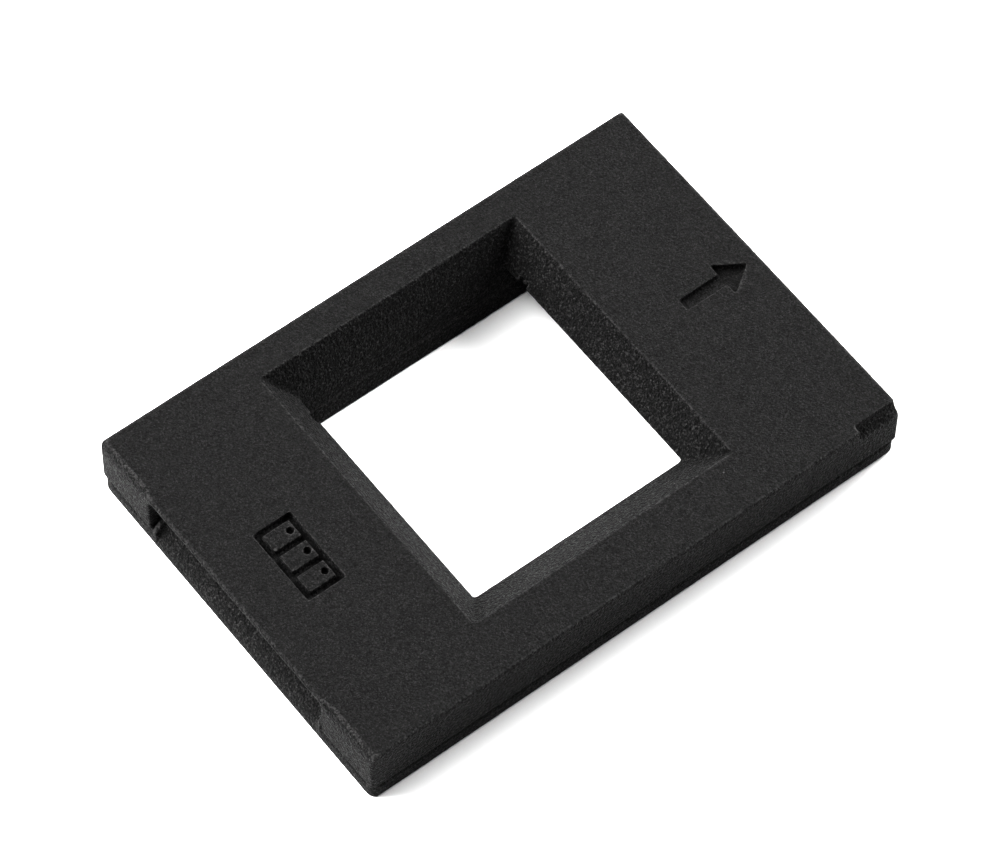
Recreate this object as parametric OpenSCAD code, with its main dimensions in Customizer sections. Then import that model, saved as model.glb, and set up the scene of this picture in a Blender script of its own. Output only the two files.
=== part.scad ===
/* [Plate] */
// Width of the carrier, across the film
plate_w = 60; // [56:0.5:70]
// Length of the carrier, along the film
plate_l = 88; // [84:0.5:110]
// Total thickness of the closed carrier
plate_t = 11; // [10.5:0.1:12]
// Thickness of the base slab, up to the parting line
base_t = 2.8; // [2.6:0.1:4]
// Plan corner radius of the top frame
top_corner_r = 0.5; // [0.3:0.1:3]
// Plan corner radius of the base slab
base_corner_r = 1.5; // [1:0.1:4]

/* [Film path] */
// Width of the channel between the two guide ribs
channel_w = 35.6; // [35.2:0.1:36]
// Thickness of each guide rib
rib_t = 0.8; // [0.6:0.1:1]
// Height of the guide ribs above the film bed
rib_h = 0.8; // [0.6:0.1:1]
// Height of the film bed above the underside
bed_z = 5.5; // [5:0.1:6]
// Clear height for the film between bed and top frame
film_gap = 0.3; // [0.2:0.05:0.5]
// Width of the mouth in the top frame's skirt
mouth_w = 38; // [37.6:0.1:39]
// Thickness of the lip over each mouth, at its front edge
lip_t = 0.7; // [0.6:0.1:1.2]
// Radius of the nose on the underside of each lip
lip_nose_r = 6; // [5.5:0.1:7]
// Thickness of the ramp's front edge
ramp_edge_t = 1.1; // [0.9:0.1:1.5]

/* [Window] */
// Left edge of the window in the top face
win_top_left = -25.1; // [-25.5:0.1:-24]
// Right edge of the window in the top face
win_top_right = 22; // [20:0.1:23]
// Near edge of the window in the top face
win_top_near = -21.3; // [-23:0.1:-20]
// Far edge of the window in the top face
win_top_far = 21.6; // [20:0.1:23]
// Left edge of the window at the film
win_film_left = -22; // [-22.5:0.1:-20.5]
// Right edge of the window at the film
win_film_right = 16.5; // [15:0.1:17]
// Near edge of the window at the film
win_film_near = -17.1; // [-18:0.1:-15]
// Far edge of the window at the film
win_film_far = 17.4; // [15:0.1:18]
// Left edge of the opening at the underside
win_under_left = -19.9; // [-20.5:0.1:-19.2]
// How far the bay beside the gate reaches under the window's near and far walls
bay_reach = 2.5; // [1:0.1:3]
// Half width of the gate, at the guided edge of the film
gate_half_w = 16.7; // [15:0.1:17]
// Half length of the gate
gate_half_l = 18; // [15:0.1:18.5]
// Depth of the gate's straight edge, before it flares
gate_land = 0.5; // [0.4:0.1:1]
// How far the gate flares out on its way to the underside
gate_flare = 3.2; // [1:0.1:3.4]

/* [Marks] */
// Depth of the engraved arrow
arrow_depth = 0.9; // [0.3:0.1:1.2]
// Depth of the engraved film strip sign
sign_depth = 1; // [0.3:0.1:1.2]
// Stroke width of the engraved film strip sign
sign_stroke = 0.85; // [0.6:0.05:1]
// Width of the film strip sign
sign_w = 12.3; // [10:0.1:14]
// Height of the film strip sign
sign_h = 6; // [5:0.1:7]
// Distance from the middle of the plate to the sign's middle
sign_y = -33.3; // [-35:0.1:-31]
// Position of the arrow's tip along the plate
arrow_tip_y = 41.8; // [40:0.1:42]
// Length of the arrow
arrow_l = 10.9; // [8:0.1:12]
// Length of the arrow's head
arrow_head_l = 4.1; // [3:0.1:5]
// Width of the arrow's head
arrow_head_w = 5.6; // [4:0.1:7]
// Width of the arrow's shaft
arrow_shaft_w = 2; // [1.5:0.1:2.5]

/* [Closure] */
// Diameter of the round magnets
magnet_d = 6; // [4:0.1:6]
// Thickness of each magnet
magnet_t = 2; // [1:0.1:2]
// Air between two facing magnets
magnet_gap = 0.2; // [0.1:0.05:0.4]
// Distance of the magnets from the middle, across the plate
magnet_x = 24.5; // [24:0.1:25]
// Distance of the magnets from the middle, along the plate
magnet_y = 37; // [34:0.1:38]
// Diameter of the two locating pegs
peg_d = 2.6; // [2:0.1:3]
// Height of the pegs above the parting line
peg_h = 2.5; // [1.5:0.1:3]
// Distance of the pegs from the middle, across the plate
peg_x = 25.6; // [25.2:0.1:26]
// Distance of the near peg from the middle, along the plate
peg_y = 25; // [23:0.1:30]
// How much closer to the middle the far peg stands, so that the halves fit one way only
peg_shift = 2; // [1:0.1:3]
// Radial clearance between a peg and its socket
peg_fit = 0.1; // [0.05:0.01:0.1]

/* [Finger notch] */
// Length of the notch along the side
notch_l = 7; // [6:0.1:10]
// Depth of the notch into the side
notch_in = 1.4; // [1:0.1:2]
// Depth of the notch below the top face
notch_down = 2.1; // [1.8:0.1:3]
// Radius of the hollow
notch_r = 1.9; // [1.9:0.1:3]

/* [Hidden] */
$fn = 96;
// Overlap that keeps cuts clean
eps = 0.02;
// How far a cutting tool reaches past a face
over = 1;
// A length that reaches past the part on any side
far = 200;
half_w = plate_w / 2;
half_l = plate_l / 2;
roof_z = bed_z + film_gap;
rib_z = bed_z + rib_h;
// Clear space above the ribs
rib_clear = 0.3;
// The ramp's nose is a quarter round whose axis lies on the underside
ramp_axis_y = half_l - sqrt(bed_z * bed_z - ramp_edge_t * ramp_edge_t);
// The lip's nose is a round whose axis lies above the top face
lip_axis_z = roof_z + lip_nose_r;
lip_axis_y = half_l - sqrt(lip_nose_r * lip_nose_r - pow(lip_axis_z - plate_t + lip_t, 2));
// Slope of the left wall, below the film
left_slope = (win_under_left - win_film_left) / roof_z;
// The magnets' sockets leave half of the air gap on each side
socket_clear = 0.05;
socket_d = magnet_d + 2 * socket_clear;
magnet_z = [base_t - magnet_gap / 2 - magnet_t, base_t + magnet_gap / 2];
socket_h = magnet_t + magnet_gap / 2;
// One magnet in each corner: near left, near right, far right, far left
corners = [[-1, -1], [1, -1], [1, 1], [-1, 1]];
// The pegs stand in two opposite quarters
peg_spots = [[-peg_x, -peg_y], [peg_x, peg_y - peg_shift]];
peg_bottom = 0.5;
// Depth of a peg's socket beyond the peg's end
peg_room = 0.5;
sign_cells = 3;
sign_hole_d = 1;
// Land between a cell's upper bar and its hole
sign_hole_land = 0.3;
nylon = [0.035, 0.035, 0.037];
nickel = [0.75, 0.75, 0.74];

// A plate outline with rounded corners, built from plain rectangles and discs
module rounded_outline(w, l, r) {
    square([w - 2 * r, l], center = true);
    square([w, l - 2 * r], center = true);
    for (c = corners)
        translate([c[0] * (w / 2 - r), c[1] * (l / 2 - r)]) circle(r);
}

// A bar along the X axis from its outline in Y and Z
module along_x(x0, x1) {
    translate([x0, 0, 0])
        rotate([90, 0, 90])
            linear_extrude(x1 - x0) children();
}

// A bar along the Y axis from its outline in X and Z
module along_y(y0, y1) {
    translate([0, y1, 0])
        rotate([90, 0, 0])
            linear_extrude(y1 - y0) children();
}

// Side outline of a bed that ends in a quarter-round nose, cut at the plate's ends
module bed_outline(height) {
    intersection() {
        union() {
            translate([-ramp_axis_y, 0]) square([2 * ramp_axis_y, height]);
            for (s = [-1, 1]) translate([s * ramp_axis_y, 0]) circle(height);
        }
        translate([-half_l, 0]) square([plate_l, height + eps]);
    }
}

// Side outline of the space under the top frame: flat over the bed, flared at both mouths
module mouth_outline(flat_z) {
    translate([-half_l - eps, -far]) square([plate_l + 2 * eps, far + flat_z]);
    for (s = [-1, 1])
        difference() {
            mirror([s < 0 ? 1 : 0, 0])
                translate([lip_axis_y, 0]) square([half_l + eps - lip_axis_y, lip_axis_z]);
            translate([s * lip_axis_y, lip_axis_z]) circle(lip_nose_r);
        }
}

// The funnel above the film, with mitred corners
module window_funnel() {
    intersection() {
        along_y(-far, far)
            polygon([
                [win_film_left, roof_z - eps], [win_film_right, roof_z - eps],
                [win_top_right, plate_t], [win_top_right, plate_t + over],
                [win_top_left, plate_t + over], [win_top_left, plate_t]
            ]);
        along_x(-far, far)
            polygon([
                [win_film_near, roof_z - eps], [win_film_far, roof_z - eps],
                [win_top_far, plate_t], [win_top_far, plate_t + over],
                [win_top_near, plate_t + over], [win_top_near, plate_t]
            ]);
    }
}

// The bay on the window's left side, below the film: it undercuts the near and far walls
module left_bay() {
    along_y(win_film_near - bay_reach, win_film_far + bay_reach)
        polygon([
            [win_film_left, roof_z], [-gate_half_w, roof_z], [-gate_half_w, -over],
            [win_film_left + left_slope * (roof_z + over), -over]
        ]);
}

// The light opening below the film: open on the left, a flared gate on the other three sides
module light_opening() {
    land_z = bed_z - gate_land;
    intersection() {
        along_y(-far, far)
            polygon([
                [win_under_left + left_slope * over, -over],
                [win_film_left - left_slope * over, roof_z + over],
                [gate_half_w, roof_z + over], [gate_half_w, land_z],
                [gate_half_w + gate_flare, 0], [gate_half_w + gate_flare, -over]
            ]);
        along_x(-far, far)
            polygon([
                [-gate_half_l, roof_z + over], [gate_half_l, roof_z + over], [gate_half_l, land_z],
                [gate_half_l + gate_flare, 0], [gate_half_l + gate_flare, -over],
                [-gate_half_l - gate_flare, -over], [-gate_half_l - gate_flare, 0],
                [-gate_half_l, land_z]
            ]);
    }
}

// Arrow that shows which way the film runs
module arrow_mark() {
    head_y = arrow_tip_y - arrow_head_l;
    polygon([[-arrow_head_w / 2, head_y], [arrow_head_w / 2, head_y], [0, arrow_tip_y]]);
    translate([-arrow_shaft_w / 2, arrow_tip_y - arrow_l])
        square([arrow_shaft_w, arrow_l - arrow_head_l + eps]);
}

// Film strip sign: a frame in three cells, each with one round hole
module sign_mark() {
    cell = (sign_w - sign_stroke) / sign_cells;
    hole_y = sign_h - sign_stroke - sign_hole_land - sign_hole_d / 2;
    translate([-sign_w / 2, sign_y - sign_h / 2]) {
        for (y = [0, sign_h - sign_stroke])
            translate([0, y]) square([sign_w, sign_stroke]);
        for (i = [0 : sign_cells])
            translate([i * cell, 0]) square([sign_stroke, sign_h]);
        for (i = [0 : sign_cells - 1])
            translate([(i + 0.5) * cell + sign_stroke / 2, hole_y])
                circle(d = sign_hole_d);
    }
}

// Scoop for a fingernail in the upper edge, at the far right corner: a hollow with a square near end
module finger_notch() {
    chord = norm([notch_in, notch_down]);
    axis_out = sqrt(notch_r * notch_r - chord * chord / 4) / chord;
    axis_x = half_w - notch_in / 2 + notch_down * axis_out;
    axis_z = plate_t - notch_down / 2 + notch_in * axis_out;
    translate([axis_x, half_l - notch_l, axis_z])
        rotate([-90, 0, 0]) cylinder(r = notch_r, h = notch_l + over);
}

module top_frame() {
    color(nylon)
        difference() {
            translate([0, 0, base_t])
                linear_extrude(plate_t - base_t)
                    rounded_outline(plate_w, plate_l, top_corner_r);
            along_x(-mouth_w / 2, mouth_w / 2) mouth_outline(base_t);
            along_x(-channel_w / 2 + rib_clear, channel_w / 2 - rib_clear)
                mouth_outline(roof_z);
            for (s = [-1, 1])
                translate([s * (mouth_w / 2 + channel_w / 2 - rib_clear) / 2, 0, 0])
                    along_x(-rib_groove_w() / 2 - eps, rib_groove_w() / 2)
                        mouth_outline(rib_z + rib_clear);
            window_funnel();
            left_bay();
            translate([0, 0, plate_t - arrow_depth])
                linear_extrude(arrow_depth + over) arrow_mark();
            translate([0, 0, plate_t - sign_depth])
                linear_extrude(sign_depth + over) sign_mark();
            finger_notch();
            for (c = corners)
                translate([c[0] * magnet_x, c[1] * magnet_y, base_t - over])
                    cylinder(d = socket_d, h = socket_h + over);
            for (p = peg_spots)
                translate([p[0], p[1], base_t - over])
                    cylinder(d = peg_d + 2 * peg_fit, h = peg_h + peg_room + over);
        }
}

// Width of the groove that each guide rib stands in
function rib_groove_w() = (mouth_w - channel_w) / 2 + rib_clear;

module base_frame() {
    color(nylon) {
        difference() {
            union() {
                difference() {
                    linear_extrude(base_t)
                        rounded_outline(plate_w, plate_l, base_corner_r);
                    along_x(-channel_w / 2 - rib_t, channel_w / 2 + rib_t)
                        translate([-half_l - over, 0]) square([plate_l + 2 * over, base_t + over]);
                }
                along_x(-channel_w / 2 - rib_t, channel_w / 2 + rib_t) bed_outline(bed_z);
                for (s = [-1, 1])
                    translate([s * (channel_w + rib_t) / 2, 0, 0])
                        along_x(-rib_t / 2, rib_t / 2) bed_outline(rib_z);
                for (p = peg_spots)
                    translate([p[0], p[1], peg_bottom])
                        cylinder(d = peg_d, h = base_t - peg_bottom + peg_h);
            }
            light_opening();
            left_bay();
            for (c = corners)
                translate([c[0] * magnet_x, c[1] * magnet_y, base_t - socket_h])
                    cylinder(d = socket_d, h = socket_h + over);
        }
    }
}

// One round magnet, in a corner and in the base (level 0) or the top frame (level 1)
module magnet(corner, level) {
    color(nickel)
        translate([corners[corner][0] * magnet_x, corners[corner][1] * magnet_y, magnet_z[level]])
            cylinder(d = magnet_d, h = magnet_t);
}

top_frame();
base_frame();
magnet(0, 1);  // top_magnet_1
magnet(1, 1);  // top_magnet_2
magnet(2, 1);  // top_magnet_3
magnet(3, 1);  // top_magnet_4
magnet(0, 0);  // base_magnet_1
magnet(1, 0);  // base_magnet_2
magnet(2, 0);  // base_magnet_3
magnet(3, 0);  // base_magnet_4
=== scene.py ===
import math

import bpy
import numpy as np
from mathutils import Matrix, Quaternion, Vector, noise


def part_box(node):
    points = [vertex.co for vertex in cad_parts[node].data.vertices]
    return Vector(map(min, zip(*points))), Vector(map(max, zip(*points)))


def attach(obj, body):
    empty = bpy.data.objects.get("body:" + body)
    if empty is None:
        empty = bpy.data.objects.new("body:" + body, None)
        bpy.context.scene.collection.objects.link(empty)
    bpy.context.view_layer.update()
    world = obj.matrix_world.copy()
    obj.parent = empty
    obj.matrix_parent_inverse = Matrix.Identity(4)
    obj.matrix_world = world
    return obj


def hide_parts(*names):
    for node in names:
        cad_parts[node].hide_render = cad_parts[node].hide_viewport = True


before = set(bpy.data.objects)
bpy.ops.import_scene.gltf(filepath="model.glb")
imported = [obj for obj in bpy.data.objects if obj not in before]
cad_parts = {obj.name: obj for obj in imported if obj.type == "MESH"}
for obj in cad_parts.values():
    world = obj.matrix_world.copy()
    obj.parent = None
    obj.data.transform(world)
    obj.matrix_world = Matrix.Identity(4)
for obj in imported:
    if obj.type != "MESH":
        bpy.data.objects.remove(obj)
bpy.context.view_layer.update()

MM = 0.001

# ---------------------------------------------------------------- sizes read from the frame


def box_mm(node):
    """Lowest and highest corner of a CAD node, in millimetres."""
    return [np.array(corner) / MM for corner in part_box(node)]


TOP_LOW, TOP_HIGH = box_mm("top_frame")
BASE_LOW, BASE_HIGH = box_mm("base_frame")
HALF_W, HALF_L = TOP_HIGH[0], TOP_HIGH[1]
TOP_Z = TOP_HIGH[2]
SEAM_Z = TOP_LOW[2]

# Half width of the film mouths, and where the crisp lip above them starts and ends its fade
MOUTH_HALF_W = 19.0
LIP_FADE = (MOUTH_HALF_W - 0.5, MOUTH_HALF_W + 2.5)

# The engraved marks: half their width, how far along the plate they lie, and their depth
MARKS_HALF_W = 8
MARKS_ALONG = (29, 43)
MARKS_DEPTH = 1

# The seam's edges inside the window stay crisp: this near the seam, and this far in from the side
SEAM_BAND = 0.6
SEAM_INSET = 6

# The base's slab: how far above the seam, and in from the mouth's side, still counts as slab
SLAB_OVER = 0.05
SLAB_INSET = 0.4

# Rounding that the blasting leaves on the edges: its reach in from the side, and its drop
NEAR_RIM = (0.9, 2.2)
PLAIN_RIM = (0.4, 0.5)
SEAM_RIM_TOP = (0.4, 0.4)
SEAM_RIM_BASE = (0.8, 1.2)
FOOT_RIM = (0.5, 0.5)

# Bends at which the sharp upper edges start to get pale paint, a painted highlight that also stands
# for wear, and are palest: the base's edges are rounder
TOP_WEAR_AND_HIGHLIGHT_BENDS = (0.011, 0.019)
BASE_WEAR_AND_HIGHLIGHT_BENDS = (0.005, 0.011)

# Fineness of the sintered skin, and how many triangles a finished shell may have
VOXEL = 0.2
SHELL_TRIANGLES = 200_000

# Relief of the skin, everywhere and on steep walls: height, a lump's size, and a start in the noise
FINE_RELIEF = (0.007, 0.6, 3.1)
STEEP_RELIEF = (0.024, 0.45, 5.7)

# How far a face tips from level before it is steep, and how far up it looks before its edges get the
# painted highlight: from, to
STEEP_FROM_TO = (0.03, 0.2)
HIGHLIGHT_UPWARD_FROM_TO = (0.05, 0.35)

# ---------------------------------------------------------------- mesh helpers


def coordinates(mesh):
    """The mesh's vertices as an array, in millimetres."""
    flat = np.zeros(len(mesh.vertices) * 3)
    mesh.vertices.foreach_get("co", flat)
    return flat.reshape(-1, 3) / MM


def set_coordinates(mesh, points):
    mesh.vertices.foreach_set("co", (points * MM).ravel())
    mesh.update()


def vertex_normals(mesh):
    flat = np.zeros(len(mesh.vertices) * 3)
    mesh.vertex_normals.foreach_get("vector", flat)
    return flat.reshape(-1, 3)


def sintered_copy(node, name):
    """A fine, even skin over a CAD node's solid, as a new object."""
    source = bpy.data.objects.new(name + "_source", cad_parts[node].data.copy())
    bpy.context.scene.collection.objects.link(source)
    skin = source.modifiers.new("skin", "REMESH")
    skin.mode = "VOXEL"
    skin.voxel_size = VOXEL * MM
    graph = bpy.context.evaluated_depsgraph_get()
    mesh = bpy.data.meshes.new_from_object(source.evaluated_get(graph))
    bpy.data.objects.remove(source)
    mesh.name = name
    mesh.materials.clear()
    mesh.polygons.foreach_set("use_smooth", np.ones(len(mesh.polygons), bool))
    piece = bpy.data.objects.new(name, mesh)
    bpy.context.scene.collection.objects.link(piece)
    return piece


def relax(mesh, points, weight, rounds):
    """Evens the skin out: each vertex moves to its neighbours' mean, as far as its weight says."""
    edges = np.zeros(len(mesh.edges) * 2, int)
    mesh.edges.foreach_get("vertices", edges)
    a, b = edges.reshape(-1, 2).T
    count = np.bincount(a, minlength=len(points)) + np.bincount(b, minlength=len(points))
    for _ in range(rounds):
        total = np.empty_like(points)
        for axis in range(3):
            total[:, axis] = np.bincount(a, points[b, axis], len(points))
            total[:, axis] += np.bincount(b, points[a, axis], len(points))
        points = points + weight[:, None] * (total / count[:, None] - points)
    return points


def round_edge(points, axis, half, rim_z, up, reach, drop):
    """Rounds a straight outer edge on both sides of the plate.

    axis is the way across the edge, and half where the side lies. rim_z and up (1 or -1) say which
    face meets the side there. reach and drop are the rounding's size across and down.
    """
    across = np.abs(points[:, axis]) - (half - reach)
    down = drop - (rim_z - points[:, 2]) * up
    u, v = across / reach, down / drop
    far_out = np.hypot(u, v)
    corner = (u > 0) & (v > 0) & (far_out > 1)
    pull = np.where(corner, 1 - 1 / np.maximum(far_out, 1e-6), 0)
    moved = points.copy()
    moved[:, axis] -= np.sign(points[:, axis]) * across * pull
    moved[:, 2] -= up * down * pull
    return moved


def round_rim(points, rim_z, up, long_rim, end_rim):
    """Rounds a shell's outer edge all round: its long sides, then its ends."""
    points = round_edge(points, 0, HALF_W, rim_z, up, *long_rim)
    return round_edge(points, 1, HALF_L, rim_z, up, *end_rim)


def ease(x, low, high):
    """0 below low, 1 above high, and a smooth rise between them."""
    t = np.clip((x - low) / (high - low), 0, 1)
    return t * t * (3 - 2 * t)


def lumps(points, height, pitch, start):
    """Smooth noise from -height to height, one value a point. pitch is the size of a lump."""
    shift = Vector((start, start * 1.7, start * 0.6))
    return height * np.array([noise.noise(Vector(p) + shift) for p in points / pitch])


def mark_wear_and_highlight(mesh, points, normals, bends):
    """Stores how much painted highlight, standing also for wear, the skin gets at each vertex: 1 on
    sharp upper edges, and 0 on flats.

    bends holds the bend in millimetres at which the painted highlight starts, and at which it is
    full.
    """
    sunk = points - relax(mesh, points, np.ones(len(points)), 2)
    bend = np.einsum("ij,ij->i", sunk, normals)
    # Painted highlight: sharp edges that face up are marked to be painted pale where they catch the
    # light, also standing for wear
    layer = mesh.attributes.new("wear_and_highlight", "FLOAT", "POINT")
    layer.data.foreach_set("value", ease(bend, *bends) * ease(normals[:, 2], *HIGHLIGHT_UPWARD_FROM_TO))


def build_skin(piece, points, crisp, bends):
    """Relaxes the skin, adds the relief that the printer leaves, and thins the mesh where it is flat.

    crisp is 1 at vertices that are relaxed only a little, and 0 elsewhere.
    """
    mesh = piece.data
    points = relax(mesh, points, 0.5 - 0.3 * crisp, 2)
    points = relax(mesh, points, 0.5 * (1 - crisp), 3)
    set_coordinates(mesh, points)
    normals = vertex_normals(mesh)
    mark_wear_and_highlight(mesh, points, normals, bends)
    steep = ease(1 - np.abs(normals[:, 2]), *STEEP_FROM_TO)
    relief = lumps(points, *FINE_RELIEF) + lumps(points, *STEEP_RELIEF) * steep
    set_coordinates(mesh, points + normals * relief[:, None])
    thin = piece.modifiers.new("thin", "DECIMATE")
    thin.ratio = min(1.0, SHELL_TRIANGLES / (2 * len(mesh.polygons)))


# ---------------------------------------------------------------- the two shells


def at_window_seam(points):
    """1 at the seam inside the window, where the walls read as one face, and 0 elsewhere."""
    inside = (np.abs(points[:, 0]) < HALF_W - SEAM_INSET) & (np.abs(points[:, 1]) < HALF_L / 2)
    return (inside & (np.abs(points[:, 2] - SEAM_Z) < SEAM_BAND)).astype(float)


def at_marks(points):
    """True at the engraved arrow and sign."""
    across, along = np.abs(points[:, 0]), np.abs(points[:, 1])
    near, far = MARKS_ALONG
    level = points[:, 2] > TOP_Z - MARKS_DEPTH
    return level & (across < MARKS_HALF_W) & (along > near) & (along < far)


def build_top_shell():
    """The upper frame: its near end is well rounded beside the mouth, its other edges a little."""
    piece = sintered_copy("top_frame", "top_shell")
    points = coordinates(piece.data)
    beside_lip = ease(np.abs(points[:, 0]), *LIP_FADE)
    soft = beside_lip * (points[:, 1] < 0)
    end_rim = [PLAIN_RIM[i] + (NEAR_RIM[i] - PLAIN_RIM[i]) * soft for i in (0, 1)]
    points = round_rim(points, TOP_Z, 1, PLAIN_RIM, end_rim)
    points = round_rim(points, SEAM_Z, -1, SEAM_RIM_TOP, SEAM_RIM_TOP)
    build_skin(piece, points, np.maximum(at_marks(points), at_window_seam(points)), TOP_WEAR_AND_HIGHLIGHT_BENDS)
    return piece


def build_base_shell():
    """The lower frame: the slab's rim is rounded beside the mouths, and its foot all round."""
    piece = sintered_copy("base_frame", "base_shell")
    points = coordinates(piece.data)
    slab = (points[:, 2] < SEAM_Z + SLAB_OVER) & (np.abs(points[:, 0]) > MOUTH_HALF_W - SLAB_INSET)
    rounded = round_rim(points, SEAM_Z, 1, SEAM_RIM_BASE, SEAM_RIM_BASE)
    points = np.where(slab[:, None], rounded, points)
    points = round_rim(points, BASE_LOW[2], -1, FOOT_RIM, FOOT_RIM)
    build_skin(piece, points, at_window_seam(points), BASE_WEAR_AND_HIGHLIGHT_BENDS)
    return piece


# ---------------------------------------------------------------- magnets


# Rounding of a magnet's rim, and the sides of its circle
MAGNET_RIM = 0.25
MAGNET_SIDES = 64

# The dish turned into its faces: its depth, and its edge and floor as shares of the radius
DISH_DEPTH = 0.02
DISH_EDGE = 0.72
DISH_FLOOR = (0.68, 0.2)


def magnet_profile(radius, half_thick):
    """Radius and height of each ring of a magnet, from one face's middle to the other's."""
    arc = [math.radians(a) for a in (0, 22.5, 45, 67.5, 90)]
    core_r, core_z = radius - MAGNET_RIM, half_thick - MAGNET_RIM
    half = [(core_r + MAGNET_RIM * math.cos(a), core_z + MAGNET_RIM * math.sin(a)) for a in arc]
    half.append((radius * DISH_EDGE, half_thick))
    half += [(radius * share, half_thick - DISH_DEPTH) for share in DISH_FLOOR]
    return [(r, -z) for r, z in reversed(half)] + half


def build_magnet(node):
    """A turned disc with a rounded rim and a faint lathe dish in each face."""
    low, high = box_mm(node)
    centre = (low + high) / 2
    half_thick = (high[2] - low[2]) / 2
    profile = magnet_profile((high[0] - low[0]) / 2, half_thick)
    rings = len(profile)
    verts, faces = [], []
    for turn in range(MAGNET_SIDES):
        angle = 2 * math.pi * turn / MAGNET_SIDES
        for r, z in profile:
            spot = centre + np.array([r * math.cos(angle), r * math.sin(angle), z])
            verts.append(tuple(spot * MM))
    starts = [(turn * rings, (turn + 1) % MAGNET_SIDES * rings) for turn in range(MAGNET_SIDES)]
    for a, b in starts:
        faces += [(a + i, b + i, b + i + 1, a + i + 1) for i in range(rings - 1)]
    hub_z = half_thick - DISH_DEPTH
    for ring, side in ((0, -1), (rings - 1, 1)):
        hub = len(verts)
        verts.append(tuple((centre + np.array([0, 0, side * hub_z])) * MM))
        # the lower face winds the other way round
        faces += [(a + ring, b + ring, hub)[::side] for a, b in starts]
    mesh = bpy.data.meshes.new(node + "_disc")
    mesh.from_pydata(verts, [], faces)
    mesh.polygons.foreach_set("use_smooth", np.ones(len(mesh.polygons), bool))
    mesh.update()
    piece = bpy.data.objects.new(node + "_disc", mesh)
    bpy.context.scene.collection.objects.link(piece)
    return piece


# ---------------------------------------------------------------- materials

NYLON_SPECULAR = 0.18
NYLON_SHEEN = 0.013

# Greys of the nylon: its darkest and palest grains, a painted highlight on worn edges, a painted
# glint, and a speck of dust
DARK_GRAIN_GREY = (0.0004, 0.0004, 0.0004, 1)
PALE_GRAIN_GREY = (0.0098, 0.0096, 0.0096, 1)
WORN_HIGHLIGHT_GREY = (0.046, 0.045, 0.045, 1)
GLINT_GREY = (0.05, 0.049, 0.049, 1)
DUST_GREY = (0.3, 0.3, 0.3, 1)


class Nodes:
    """Small helper that adds and links shader nodes."""

    def __init__(self, name):
        self.material = bpy.data.materials.new(name)
        self.material.use_nodes = True
        self.tree = self.material.node_tree
        self.shader = self.tree.nodes["Principled BSDF"]
        self.coords = self.add("ShaderNodeTexCoord").outputs["Object"]

    def add(self, kind, inputs=None, **settings):
        node = self.tree.nodes.new(kind)
        for key, value in settings.items():
            setattr(node, key, value)
        for key, value in (inputs or {}).items():
            self.feed(node.inputs[key], value)
        return node

    def feed(self, socket, value):
        """Links a socket to another node's output, or gives it a constant."""
        if isinstance(value, bpy.types.NodeSocket):
            self.tree.links.new(value, socket)
        else:
            socket.default_value = value

    def math(self, operation, a, b=0.0):
        return self.add("ShaderNodeMath", {0: a, 1: b}, operation=operation).outputs[0]

    def times(self, a, b):
        return self.math("MULTIPLY", a, b)

    def scaled(self, x, y, z):
        """Object coordinates times a factor an axis: the factor is in lumps a metre."""
        return self.add("ShaderNodeMapping", {"Vector": self.coords, "Scale": (x, y, z)}).outputs[0]

    def noise(self, scale, detail=2.0, rough=0.5, vector=None):
        node = self.add(
            "ShaderNodeTexNoise",
            {"Vector": vector or self.coords, "Scale": scale, "Detail": detail, "Roughness": rough},
        )
        return node.outputs["Fac"]

    def grains(self, scale):
        """A random value from 0 to 1 for each grain of powder: scale is in grains a metre."""
        cells = self.add("ShaderNodeTexVoronoi", {"Vector": self.coords, "Scale": scale})
        return self.add("ShaderNodeSeparateColor", {0: cells.outputs["Color"]}).outputs[0]

    def ramp(self, value, low, high, out_low=0.0, out_high=1.0):
        """Carries value from the range low-high over to out_low-out_high, and holds it there."""
        ends = {"From Min": low, "From Max": high, "To Min": out_low, "To Max": out_high}
        return self.add("ShaderNodeMapRange", {"Value": value, **ends}).outputs[0]

    def mix(self, fac, a, b):
        node = self.add("ShaderNodeMix", {"Factor": fac}, data_type="RGBA")
        self.feed(node.inputs[6], a)
        self.feed(node.inputs[7], b)
        return node.outputs[2]


def dust(n):
    """1 at a few far-apart specks, and 0 elsewhere."""
    cells = n.add("ShaderNodeTexVoronoi", {"Vector": n.coords, "Scale": 420.0})
    speck = n.ramp(cells.outputs["Distance"], 0.07, 0.03)
    chance = n.add("ShaderNodeSeparateColor", {0: cells.outputs["Color"]}).outputs[0]
    return n.times(speck, n.ramp(chance, 0.95, 0.97))


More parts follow.
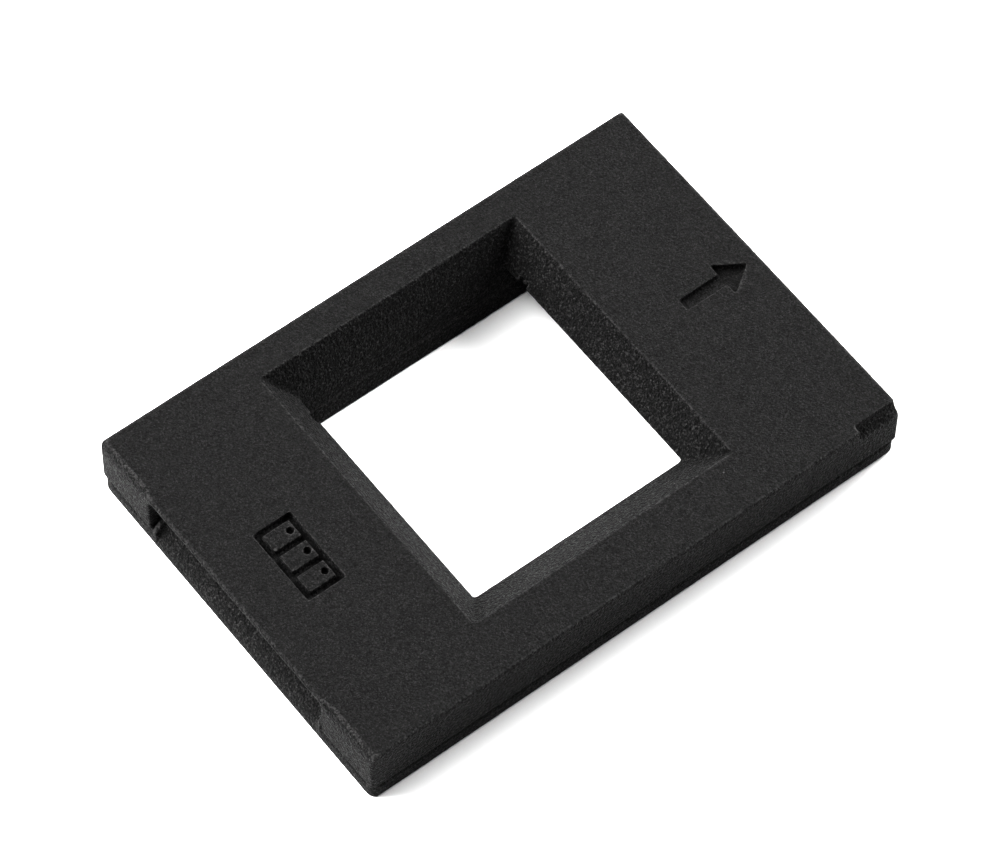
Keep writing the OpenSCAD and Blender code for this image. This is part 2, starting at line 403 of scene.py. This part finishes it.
def nylon_material():
    """Black dyed sintered nylon: fine grain, coarser on steep walls, painted shade on steep walls,
    painted glints, a painted highlight on worn edges, and a little dust.
    """
    n = Nodes("nylon_black")
    powder = n.noise(3400, 3.0, 0.65)
    clumps = n.noise(2300, 2.0, 0.6)
    mottle = n.noise(260, 3.0, 0.55)
    grains = n.grains(6200)
    crumbs = n.grains(4600)
    normal = n.add("ShaderNodeNewGeometry").outputs["Normal"]
    up = n.add("ShaderNodeSeparateXYZ", {0: normal}).outputs[2]
    steep = n.ramp(n.math("ABSOLUTE", up), 0.97, 0.8)

    shade = n.math("ADD", n.times(grains, 0.6), n.times(crumbs, 0.4))
    shade = n.math("ADD", shade, n.ramp(mottle, 0.3, 0.7, -0.06, 0.06))
    # Painted shade: the grain tone is painted darker on steep walls, down to a fifth on upright ones
    shade = n.times(n.ramp(shade, 0.15, 0.85), n.ramp(steep, 0.0, 1.0, 1.0, 0.2))
    tone = n.mix(shade, DARK_GRAIN_GREY, PALE_GRAIN_GREY)
    # Painted glints: the palest grains, and more of the grains on steep walls, are painted in a
    # bright glint grey
    flat_glints = n.times(n.ramp(grains, 0.8, 1.0), 0.27)
    steep_glints = n.times(n.times(n.ramp(crumbs, 0.7, 1.0), steep), 0.7)
    tone = n.mix(n.math("MAXIMUM", flat_glints, steep_glints), tone, GLINT_GREY)
    # Painted highlight: the sharp upper edges are painted pale, also standing for wear
    wear_and_highlight = n.add("ShaderNodeAttribute", attribute_name="wear_and_highlight").outputs["Fac"]
    tone = n.mix(n.times(wear_and_highlight, n.ramp(crumbs, 0.2, 0.9, 0.15, 1.0)), tone, WORN_HIGHLIGHT_GREY)
    n.feed(n.shader.inputs["Base Color"], n.mix(dust(n), tone, DUST_GREY))

    n.feed(n.shader.inputs["Roughness"], n.ramp(powder, 0.35, 0.65, 0.85, 0.55))
    n.feed(n.shader.inputs["Specular IOR Level"], NYLON_SPECULAR)
    n.feed(n.shader.inputs["Sheen Weight"], NYLON_SHEEN)
    n.feed(n.shader.inputs["Sheen Roughness"], 0.4)
    coarse = n.times(n.times(clumps, steep), 2.6)
    height = n.math("ADD", n.math("ADD", powder, coarse), n.times(crumbs, 0.35))
    bump = n.add("ShaderNodeBump", {"Height": height, "Strength": 1.0, "Distance": 0.00022})
    n.feed(n.shader.inputs["Normal"], bump.outputs[0])
    return n.material


def nickel_material():
    """Satin nickel plate with fine rubbing marks and faint stains."""
    n = Nodes("nickel_plate")
    rubbed = n.noise(1.0, 4.0, 0.6, n.scaled(5200, 900, 2600))
    stain = n.noise(700, 3.0, 0.5)
    tone = n.mix(n.ramp(stain, 0.35, 0.7), (0.72, 0.7, 0.66, 1), (0.58, 0.57, 0.55, 1))
    n.feed(n.shader.inputs["Base Color"], tone)
    n.feed(n.shader.inputs["Metallic"], 1.0)
    n.feed(n.shader.inputs["Roughness"], n.ramp(rubbed, 0.3, 0.7, 0.4, 0.55))
    bump = n.add("ShaderNodeBump", {"Height": rubbed, "Strength": 0.25, "Distance": 0.00003})
    n.feed(n.shader.inputs["Normal"], bump.outputs[0])
    return n.material


def floor_material():
    """Plain white studio sweep."""
    n = Nodes("studio_floor")
    tone = n.mix(n.noise(9, 2.0), (0.94, 0.94, 0.94, 1), (0.96, 0.96, 0.96, 1))
    n.feed(n.shader.inputs["Base Color"], tone)
    n.feed(n.shader.inputs["Roughness"], 0.85)
    n.feed(n.shader.inputs["Specular IOR Level"], 0.1)
    return n.material


# ---------------------------------------------------------------- stage


# The floor: half its side, and how far out it is flat, in metres; its cells a side; its upward curve
FLOOR_HALF = 1.5
FLOOR_FLAT = 0.9
FLOOR_CELLS = 24
FLOOR_LIFT = 0.25


def build_floor(material):
    """A sheet that curves up a little at its far edges, like a paper sweep."""
    mesh = bpy.data.meshes.new("studio_floor")
    steps = [(-1 + 2 * i / FLOOR_CELLS) * FLOOR_HALF for i in range(FLOOR_CELLS + 1)]
    verts = []
    for y in steps:
        for x in steps:
            past_flat = max(0.0, max(abs(x), abs(y)) - FLOOR_FLAT)
            verts.append((x, y, FLOOR_LIFT * past_flat**2))
    row = FLOOR_CELLS + 1
    corners = [j * row + i for j in range(FLOOR_CELLS) for i in range(FLOOR_CELLS)]
    faces = [(c, c + 1, c + 1 + row, c + row) for c in corners]
    mesh.from_pydata(verts, [], faces)
    mesh.polygons.foreach_set("use_smooth", np.ones(len(mesh.polygons), bool))
    mesh.materials.append(material)
    floor = bpy.data.objects.new("studio_floor", mesh)
    bpy.context.scene.collection.objects.link(floor)


def direction(azimuth, elevation):
    """Unit vector out from the object: azimuth 0 is towards the near side, and 90 to the right."""
    a, e = math.radians(azimuth), math.radians(elevation)
    return Vector((math.sin(a) * math.cos(e), -math.cos(a) * math.cos(e), math.sin(e)))


# The camera: the point it looks at, in metres, where it stands, how far it leans and its lens
CAMERA_AIM = (-0.0024, 0.0017, 0.0055)
CAMERA_AZIMUTH = 51.53
CAMERA_ELEVATION = 58.65
CAMERA_DISTANCE = 0.731
CAMERA_ROLL = 1.04
CAMERA_LENS = 196.9


def build_camera():
    """A long lens above the near right corner."""
    back = direction(CAMERA_AZIMUTH, CAMERA_ELEVATION)
    data = bpy.data.cameras.new("camera")
    data.sensor_width = 36
    data.lens = CAMERA_LENS
    data.clip_start, data.clip_end = 0.05, 20
    camera = bpy.data.objects.new("camera", data)
    camera.location = Vector(CAMERA_AIM) + back * CAMERA_DISTANCE
    camera.rotation_mode = "QUATERNION"
    level = (-back).to_track_quat("-Z", "Y")
    camera.rotation_quaternion = level @ Quaternion((0, 0, 1), math.radians(CAMERA_ROLL))
    bpy.context.scene.collection.objects.link(camera)
    bpy.context.scene.camera = camera


# Soft square lamps: name, azimuth, elevation, distance, size and power in watts
LAMPS = [
    ("key_front_left", -45, 25, 1.0, 0.6, 33.0),
    ("high_front_left", -40, 62, 0.7, 0.5, 5.0),
    ("side_left", -72, 35, 0.8, 0.6, 7.2),
    ("back", 180, 25, 1.3, 0.7, 56.0),
    ("back_left", -150, 25, 1.3, 0.7, 9.6),
]

# The picture's finishing: a steeper tone curve than plain sRGB, as a product photograph has
CONTRAST_GAMMA = 0.7


def build_lights():
    """The lamps, aimed at the object, in a dark studio."""
    for name, azimuth, elevation, distance, size, power in LAMPS:
        data = bpy.data.lights.new(name, "AREA")
        data.shape = "SQUARE"
        data.size = size
        data.energy = power
        lamp = bpy.data.objects.new(name, data)
        out = direction(azimuth, elevation)
        lamp.location = out * distance
        lamp.rotation_mode = "QUATERNION"
        lamp.rotation_quaternion = (-out).to_track_quat("-Z", "Y")
        bpy.context.scene.collection.objects.link(lamp)
    world = bpy.data.worlds.new("studio")
    world.use_nodes = True
    world.node_tree.nodes["Background"].inputs["Strength"].default_value = 0.0
    bpy.context.scene.world = world


# ---------------------------------------------------------------- assembly

NYLON = nylon_material()
NICKEL = nickel_material()

for build, node, body in (
    (build_top_shell, "top_frame", "top"),
    (build_base_shell, "base_frame", "base"),
):
    shell = build()
    shell.data.materials.append(NYLON)
    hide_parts(node)
    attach(shell, body)

for body in ("top", "base"):
    for i in range(1, 5):
        disc = build_magnet(f"{body}_magnet_{i}")
        disc.data.materials.append(NICKEL)
        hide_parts(f"{body}_magnet_{i}")
        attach(disc, body)

build_floor(floor_material())
build_camera()
build_lights()
bpy.context.scene.view_settings.view_transform = "Standard"
bpy.context.scene.view_settings.gamma = CONTRAST_GAMMA
